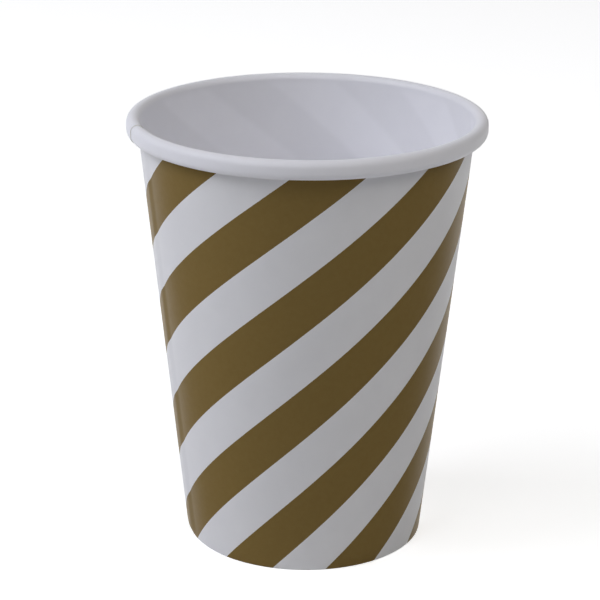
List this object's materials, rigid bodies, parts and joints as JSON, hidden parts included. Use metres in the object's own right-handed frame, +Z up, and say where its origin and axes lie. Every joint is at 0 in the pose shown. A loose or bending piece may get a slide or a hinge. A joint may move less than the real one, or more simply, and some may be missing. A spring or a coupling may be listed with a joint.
{
  "type": "paper cup",
  "caption": "Tapered single-wall paper cup with a rolled rim, a lap seam down the side and a recessed base, with diagonal stripes.",
  "frame": {"origin": "centre of the standing edge, on the surface that the cup stands on", "axes": "+Z up along the cup's axis, towards the mouth; the lap seam is on the -X side"},
  "size_m": [0.078, 0.078, 0.096],
  "materials": {
    "printed_board": "smooth coated board, printed outside",
    "white_board": "smooth coated board, unprinted"
  },
  "bodies": {
    "root": {"side_wall": "printed_board", "base": "white_board"}
  },
  "joints": []
}
